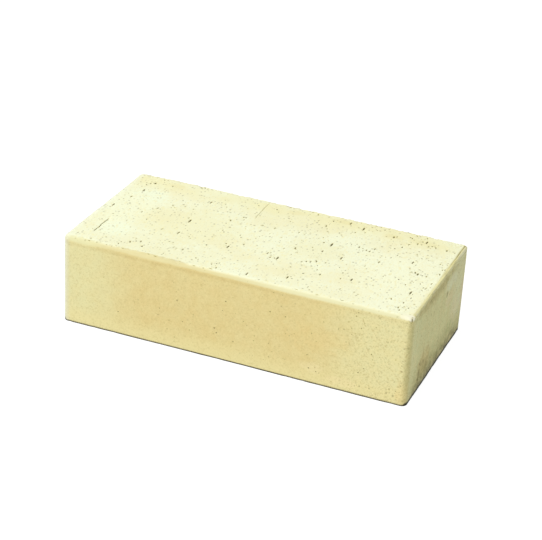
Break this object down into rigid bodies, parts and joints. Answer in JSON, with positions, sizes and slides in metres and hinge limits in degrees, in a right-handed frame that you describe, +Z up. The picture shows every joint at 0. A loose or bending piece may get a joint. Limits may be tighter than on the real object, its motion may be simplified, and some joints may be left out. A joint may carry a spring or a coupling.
{
  "type": "solid clay facing brick",
  "caption": "Solid pale-yellow extruded clay facing brick with pitted wire-cut bed faces, smooth sides and rounded vertical edges.",
  "frame": {"origin": "centre of the lower bed face, which the brick rests on", "axes": "+X along the 250 mm length, +Y across the 120 mm width away from the front stretcher face, +Z up through the 65 mm height"},
  "size_m": [0.25, 0.12, 0.065],
  "materials": {
    "fired_clay": "matt fired clay: fine-grained die skin on the sides, paler pitted wire-cut beds",
    "grog": "rough crushed fired clay, a little paler than the body",
    "iron_spot": "dull dark olive-brown mineral grains"
  },
  "bodies": {
    "root": {"brick_body": "fired_clay", "grog_grains": "grog", "iron_spot_grains": "iron_spot"}
  },
  "joints": []
}
